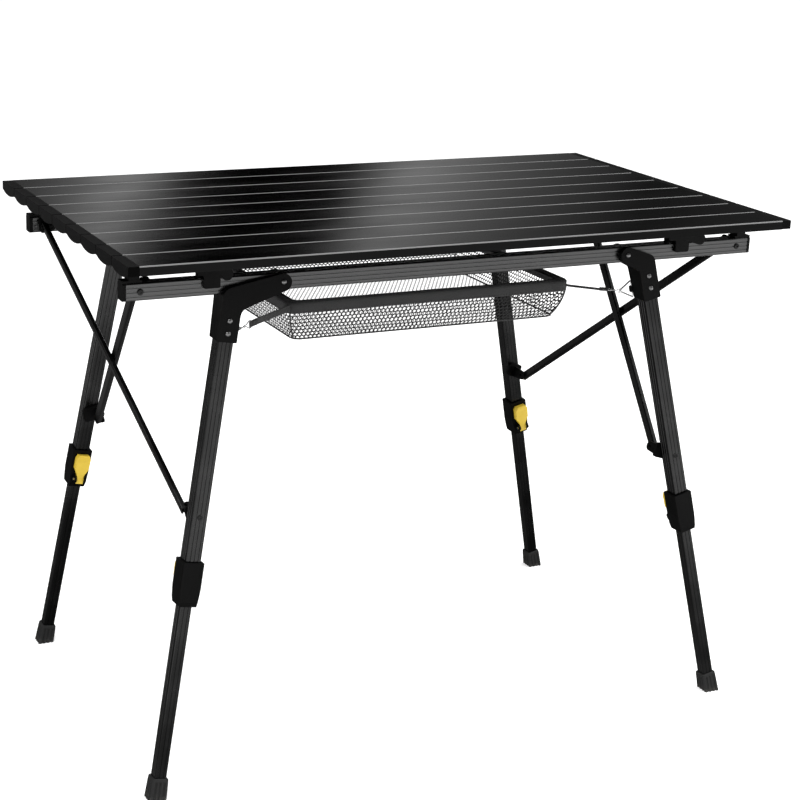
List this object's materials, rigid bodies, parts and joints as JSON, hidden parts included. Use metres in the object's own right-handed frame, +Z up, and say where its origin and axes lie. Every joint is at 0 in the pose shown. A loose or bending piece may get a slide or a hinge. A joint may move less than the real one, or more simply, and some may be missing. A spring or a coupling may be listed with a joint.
{
  "type": "folding camp table",
  "caption": "Roll-top folding camp table: slatted aluminium top on two latched rails, splayed telescoping legs with crossed braces and lock levers, and a net basket below.",
  "frame": {"origin": "on the floor under the middle of the table", "axes": "+X along the table's length to the right as pictured, +Y to the back, +Z up"},
  "size_m": [0.9, 0.5238, 0.6715],
  "materials": {
    "slat_aluminium": "black anodised, glossy",
    "tube_aluminium": "black anodised, satin, grooved",
    "black_nylon": "moulded satin",
    "yellow_plastic": "moulded",
    "grey_rubber": "matte, ribbed",
    "bright_wire": "zinc plated",
    "black_net": "open net with a bound rim"
  },
  "bodies": {
    "frame": {"front_rail": "tube_aluminium", "front_left_rail_cap": "black_nylon", "front_right_rail_cap": "black_nylon"},
    "rear_rail": {"rear_rail": "tube_aluminium", "rear_left_rail_cap": "black_nylon", "rear_right_rail_cap": "black_nylon"},
    "front_left_leg": {"front_left_leg_bracket": "black_nylon", "front_left_upper_leg": "tube_aluminium", "front_left_lock_collar": "black_nylon"},
    "front_left_ring": {"front_left_basket_ring": "bright_wire"},
    "front_left_lower_leg": {"front_left_lower_leg": "tube_aluminium", "front_left_foot": "grey_rubber"},
    "front_left_lever": {"front_left_lock_lever": "yellow_plastic"},
    "front_left_latch": {"front_left_top_latch": "black_nylon"},
    "front_left_swivel": {"front_left_brace_swivel": "black_nylon"},
    "front_left_strut": {"front_left_brace_strut": "tube_aluminium"},
    "front_left_connector": {"front_left_brace_connector": "black_nylon"},
    "front_right_leg": {"front_right_leg_bracket": "black_nylon", "front_right_upper_leg": "tube_aluminium", "front_right_lock_collar": "black_nylon"},
    "front_right_ring": {"front_right_basket_ring": "bright_wire"},
    "front_right_lower_leg": {"front_right_lower_leg": "tube_aluminium", "front_right_foot": "grey_rubber"},
    "front_right_lever": {"front_right_lock_lever": "yellow_plastic"},
    "front_right_latch": {"front_right_top_latch": "black_nylon"},
    "front_right_swivel": {"front_right_brace_swivel": "black_nylon"},
    "front_right_strut": {"front_right_brace_strut": "tube_aluminium"},
    "front_right_connector": {"front_right_brace_connector": "black_nylon"},
    "rear_left_leg": {"rear_left_leg_bracket": "black_nylon", "rear_left_upper_leg": "tube_aluminium", "rear_left_lock_collar": "black_nylon"},
    "rear_left_ring": {"rear_left_basket_ring": "bright_wire"},
    "rear_left_lower_leg": {"rear_left_lower_leg": "tube_aluminium", "rear_left_foot": "grey_rubber"},
    "rear_left_lever": {"rear_left_lock_lever": "yellow_plastic"},
    "rear_left_latch": {"rear_left_top_latch": "black_nylon"},
    "rear_left_swivel": {"rear_left_brace_swivel": "black_nylon"},
    "rear_left_strut": {"rear_left_brace_strut": "tube_aluminium"},
    "rear_left_connector": {"rear_left_brace_connector": "black_nylon"},
    "rear_right_leg": {"rear_right_leg_bracket": "black_nylon", "rear_right_upper_leg": "tube_aluminium", "rear_right_lock_collar": "black_nylon"},
    "rear_right_ring": {"rear_right_basket_ring": "bright_wire"},
    "rear_right_lower_leg": {"rear_right_lower_leg": "tube_aluminium", "rear_right_foot": "grey_rubber"},
    "rear_right_lever": {"rear_right_lock_lever": "yellow_plastic"},
    "rear_right_latch": {"rear_right_top_latch": "black_nylon"},
    "rear_right_swivel": {"rear_right_brace_swivel": "black_nylon"},
    "rear_right_strut": {"rear_right_brace_strut": "tube_aluminium"},
    "rear_right_connector": {"rear_right_brace_connector": "black_nylon"},
    "slat_5": {"slat_5": "slat_aluminium"},
    "slat_4": {"slat_4": "slat_aluminium"},
    "slat_3": {"slat_3": "slat_aluminium"},
    "slat_2": {"slat_2": "slat_aluminium"},
    "slat_1": {"slat_1": "slat_aluminium"},
    "slat_6": {"slat_6": "slat_aluminium"},
    "slat_7": {"slat_7": "slat_aluminium"},
    "slat_8": {"slat_8": "slat_aluminium"},
    "slat_9": {"slat_9": "slat_aluminium"},
    "basket": {"net_basket": "black_net"}
  },
  "joints": [
    {"name": "rear_rail_close", "type": "slide", "parent": "frame", "child": "rear_rail", "axis": [0, -1, 0], "range_m": [0, 0.25]},
    {"name": "front_left_leg_fold", "type": "hinge", "parent": "frame", "child": "front_left_leg", "pos_m": [-0.24, -0.191, 0.6261], "axis": [0, -1, 0], "range_deg": [0, 99.74], "deforming": ["net_basket"]},
    {"name": "front_left_brace_swing", "type": "hinge", "parent": "frame", "child": "front_left_swivel", "pos_m": [-0.4146, -0.1817, 0.6261], "axis": [0, -1, 0], "range_deg": [0, 67.74]},
    {"name": "front_left_brace_turn", "type": "hinge", "parent": "front_left_swivel", "child": "front_left_strut", "pos_m": [-0.41105, -0.171, 0.62693], "axis": [-0.9736, 0, -0.2285], "range_deg": [0, 38.07]},
    {"name": "front_left_connector_turn", "type": "hinge", "parent": "front_left_leg", "child": "front_left_connector", "pos_m": [-0.34918, -0.20497, 0.35061], "axis": [0.0122, -0.9974, 0.071], "range_deg": [-31.92, 0]},
    {"name": "front_left_leg_slide", "type": "slide", "parent": "front_left_leg", "child": "front_left_lower_leg", "axis": [0.1687, 0.0721, 0.983], "range_m": [0, 0.2]},
    {"name": "front_left_lever_turn", "type": "hinge", "parent": "front_left_leg", "child": "front_left_lever", "pos_m": [-0.36549, -0.20321, 0.25562], "axis": [-0.9856, 0, 0.1692], "range_deg": [0, 40]},
    {"name": "front_left_latch_turn", "type": "hinge", "parent": "frame", "child": "front_left_latch", "pos_m": [-0.329, -0.1996, 0.652], "axis": [-1, 0, 0], "range_deg": [0, 50]},
    {"name": "front_left_ring_swing", "type": "hinge", "parent": "front_left_leg", "child": "front_left_ring", "pos_m": [-0.3008, -0.18225, 0.56978], "axis": [0.1687, 0.0721, 0.983], "range_deg": [0, 90]},
    {"name": "front_right_leg_fold", "type": "hinge", "parent": "frame", "child": "front_right_leg", "pos_m": [0.24, -0.191, 0.6261], "axis": [0, 1, 0], "range_deg": [0, 102.95], "deforming": ["net_basket"]},
    {"name": "front_right_brace_swing", "type": "hinge", "parent": "frame", "child": "front_right_swivel", "pos_m": [0.4146, -0.1817, 0.6261], "axis": [0, 1, 0], "range_deg": [0, 68.44]},
    {"name": "front_right_brace_turn", "type": "hinge", "parent": "front_right_swivel", "child": "front_right_strut", "pos_m": [0.41809, -0.171, 0.62504], "axis": [-0.9572, 0, 0.2896], "range_deg": [0, 37.56]},
    {"name": "front_right_connector_turn", "type": "hinge", "parent": "front_right_leg", "child": "front_right_connector", "pos_m": [0.32984, -0.20507, 0.34919], "axis": [0.016, 0.9975, -0.0694], "range_deg": [-34.44, 0]},
    {"name": "front_right_leg_slide", "type": "slide", "parent": "front_right_leg", "child": "front_right_lower_leg", "axis": [-0.2235, 0.0713, 0.9721], "range_m": [0, 0.2]},
    {"name": "front_right_lever_turn", "type": "hinge", "parent": "front_right_leg", "child": "front_right_lever", "pos_m": [0.35144, -0.20323, 0.25527], "axis": [-0.9746, 0, -0.2241], "range_deg": [0, 40]},
    {"name": "front_right_latch_turn", "type": "hinge", "parent": "frame", "child": "front_right_latch", "pos_m": [0.3245, -0.1996, 0.652], "axis": [-1, 0, 0], "range_deg": [0, 50]},
    {"name": "front_right_ring_swing", "type": "hinge", "parent": "front_right_leg", "child": "front_right_ring", "pos_m": [0.26703, -0.18182, 0.57505], "axis": [0.2235, -0.0713, -0.9721], "range_deg": [0, 90]},
    {"name": "rear_left_leg_fold", "type": "hinge", "parent": "rear_rail", "child": "rear_left_leg", "pos_m": [-0.24, 0.191, 0.6261], "axis": [0, -1, 0], "range_deg": [0, 99.74]},
    {"name": "rear_left_brace_swing", "type": "hinge", "parent": "rear_rail", "child": "rear_left_swivel", "pos_m": [-0.4146, 0.1817, 0.6261], "axis": [0, -1, 0], "range_deg": [0, 67.74]},
    {"name": "rear_left_brace_turn", "type": "hinge", "parent": "rear_left_swivel", "child": "rear_left_strut", "pos_m": [-0.41815, 0.171, 0.62527], "axis": [0.9736, 0, 0.2285], "range_deg": [0, 38.07]},
    {"name": "rear_left_connector_turn", "type": "hinge", "parent": "rear_left_leg", "child": "rear_left_connector", "pos_m": [-0.34918, 0.20497, 0.35061], "axis": [-0.0122, -0.9974, -0.071], "range_deg": [-31.92, 0]},
    {"name": "rear_left_leg_slide", "type": "slide", "parent": "rear_left_leg", "child": "rear_left_lower_leg", "axis": [0.1687, -0.0721, 0.983], "range_m": [0, 0.2]},
    {"name": "rear_left_lever_turn", "type": "hinge", "parent": "rear_left_leg", "child": "rear_left_lever", "pos_m": [-0.36549, 0.20321, 0.25562], "axis": [0.9856, 0, -0.1692], "range_deg": [0, 40]},
    {"name": "rear_left_latch_turn", "type": "hinge", "parent": "rear_rail", "child": "rear_left_latch", "pos_m": [-0.329, 0.1996, 0.652], "axis": [1, 0, 0], "range_deg": [0, 50]},
    {"name": "rear_left_ring_swing", "type": "hinge", "parent": "rear_left_leg", "child": "rear_left_ring", "pos_m": [-0.3008, 0.18225, 0.56978], "axis": [-0.1687, 0.0721, -0.983], "range_deg": [0, 90]},
    {"name": "rear_right_leg_fold", "type": "hinge", "parent": "rear_rail", "child": "rear_right_leg", "pos_m": [0.24, 0.191, 0.6261], "axis": [0, 1, 0], "range_deg": [0, 102.95]},
    {"name": "rear_right_brace_swing", "type": "hinge", "parent": "rear_rail", "child": "rear_right_swivel", "pos_m": [0.4146, 0.1817, 0.6261], "axis": [0, 1, 0], "range_deg": [0, 68.44]},
    {"name": "rear_right_brace_turn", "type": "hinge", "parent": "rear_right_swivel", "child": "rear_right_strut", "pos_m": [0.41111, 0.171, 0.62716], "axis": [0.9572, 0, -0.2896], "range_deg": [0, 37.56]},
    {"name": "rear_right_connector_turn", "type": "hinge", "parent": "rear_right_leg", "child": "rear_right_connector", "pos_m": [0.32984, 0.20507, 0.34919], "axis": [-0.016, 0.9975, 0.0694], "range_deg": [-34.44, 0]},
    {"name": "rear_right_leg_slide", "type": "slide", "parent": "rear_right_leg", "child": "rear_right_lower_leg", "axis": [-0.2235, -0.0713, 0.9721], "range_m": [0, 0.2]},
    {"name": "rear_right_lever_turn", "type": "hinge", "parent": "rear_right_leg", "child": "rear_right_lever", "pos_m": [0.35144, 0.20323, 0.25527], "axis": [0.9746, 0, 0.2241], "range_deg": [0, 40]},
    {"name": "rear_right_latch_turn", "type": "hinge", "parent": "rear_rail", "child": "rear_right_latch", "pos_m": [0.3245, 0.1996, 0.652], "axis": [1, 0, 0], "range_deg": [0, 50]},
    {"name": "rear_right_ring_swing", "type": "hinge", "parent": "rear_right_leg", "child": "rear_right_ring", "pos_m": [0.26703, 0.18182, 0.57505], "axis": [-0.2235, -0.0713, 0.9721], "range_deg": [0, 90]},
    {"name": "top_lift", "type": "slide", "parent": "frame", "child": "slat_5", "axis": [0, 0, 1], "range_m": [0, 0.42]},
    {"name": "slat_4_roll", "type": "hinge", "parent": "slat_5", "child": "slat_4", "pos_m": [0, -0.02915, 0.66], "axis": [1, 0, 0], "range_deg": [0, 38]},
    {"name": "slat_3_roll", "type": "hinge", "parent": "slat_4", "child": "slat_3", "pos_m": [0, -0.08745, 0.66], "axis": [1, 0, 0], "range_deg": [0, 38]},
    {"name": "slat_2_roll", "type": "hinge", "parent": "slat_3", "child": "slat_2", "pos_m": [0, -0.14575, 0.66], "axis": [1, 0, 0], "range_deg": [0, 38]},
    {"name": "slat_1_roll", "type": "hinge", "parent": "slat_2", "child": "slat_1", "pos_m": [0, -0.20405, 0.66], "axis": [1, 0, 0], "range_deg": [0, 38]},
    {"name": "slat_6_roll", "type": "hinge", "parent": "slat_5", "child": "slat_6", "pos_m": [0, 0.02915, 0.66], "axis": [-1, 0, 0], "range_deg": [0, 38]},
    {"name": "slat_7_roll", "type": "hinge", "parent": "slat_6", "child": "slat_7", "pos_m": [0, 0.08745, 0.66], "axis": [-1, 0, 0], "range_deg": [0, 38]},
    {"name": "slat_8_roll", "type": "hinge", "parent": "slat_7", "child": "slat_8", "pos_m": [0, 0.14575, 0.66], "axis": [-1, 0, 0], "range_deg": [0, 38]},
    {"name": "slat_9_roll", "type": "hinge", "parent": "slat_8", "child": "slat_9", "pos_m": [0, 0.20405, 0.66], "axis": [-1, 0, 0], "range_deg": [0, 38]},
    {"name": "basket_unhook", "type": "slide", "parent": "frame", "child": "basket", "axis": [0, 0, -1], "range_m": [0, 0.1]}
  ],
  "couplings": [
    {"joint": "front_left_brace_swing", "follows": "front_left_leg_fold", "ratio": 0.67921},
    {"joint": "front_left_brace_turn", "follows": "front_left_leg_fold", "ratio": 0.38168},
    {"joint": "front_left_connector_turn", "follows": "front_left_leg_fold", "ratio": -0.32003},
    {"joint": "front_left_ring_swing", "follows": "front_left_leg_fold", "ratio": 0.90235},
    {"joint": "front_right_brace_swing", "follows": "front_right_leg_fold", "ratio": 0.66478},
    {"joint": "front_right_brace_turn", "follows": "front_left_leg_fold", "ratio": 0.37662},
    {"joint": "front_right_connector_turn", "follows": "front_right_leg_fold", "ratio": -0.33449},
    {"joint": "front_right_ring_swing", "follows": "front_right_leg_fold", "ratio": 0.87421},
    {"joint": "rear_left_leg_fold", "follows": "front_left_leg_fold", "ratio": 1},
    {"joint": "rear_left_brace_swing", "follows": "front_left_leg_fold", "ratio": 0.67921},
    {"joint": "rear_left_brace_turn", "follows": "front_left_leg_fold", "ratio": 0.38168},
    {"joint": "rear_left_connector_turn", "follows": "front_left_leg_fold", "ratio": -0.32003},
    {"joint": "rear_left_ring_swing", "follows": "front_left_leg_fold", "ratio": 0.90235},
    {"joint": "rear_right_leg_fold", "follows": "front_right_leg_fold", "ratio": 1},
    {"joint": "rear_right_brace_swing", "follows": "front_right_leg_fold", "ratio": 0.66478},
    {"joint": "rear_right_brace_turn", "follows": "front_left_leg_fold", "ratio": 0.37662},
    {"joint": "rear_right_connector_turn", "follows": "front_right_leg_fold", "ratio": -0.33449},
    {"joint": "rear_right_ring_swing", "follows": "front_right_leg_fold", "ratio": 0.87421},
    {"joint": "rear_rail_close", "follows": "front_left_leg_fold", "m_per_rad": 0.14361},
    {"joint": "slat_4_roll", "follows": "top_lift", "rad_per_m": 1.5791},
    {"joint": "slat_3_roll", "follows": "top_lift", "rad_per_m": 1.5791},
    {"joint": "slat_2_roll", "follows": "top_lift", "rad_per_m": 1.5791},
    {"joint": "slat_1_roll", "follows": "top_lift", "rad_per_m": 1.5791},
    {"joint": "slat_6_roll", "follows": "top_lift", "rad_per_m": 1.5791},
    {"joint": "slat_7_roll", "follows": "top_lift", "rad_per_m": 1.5791},
    {"joint": "slat_8_roll", "follows": "top_lift", "rad_per_m": 1.5791},
    {"joint": "slat_9_roll", "follows": "top_lift", "rad_per_m": 1.5791}
  ]
}
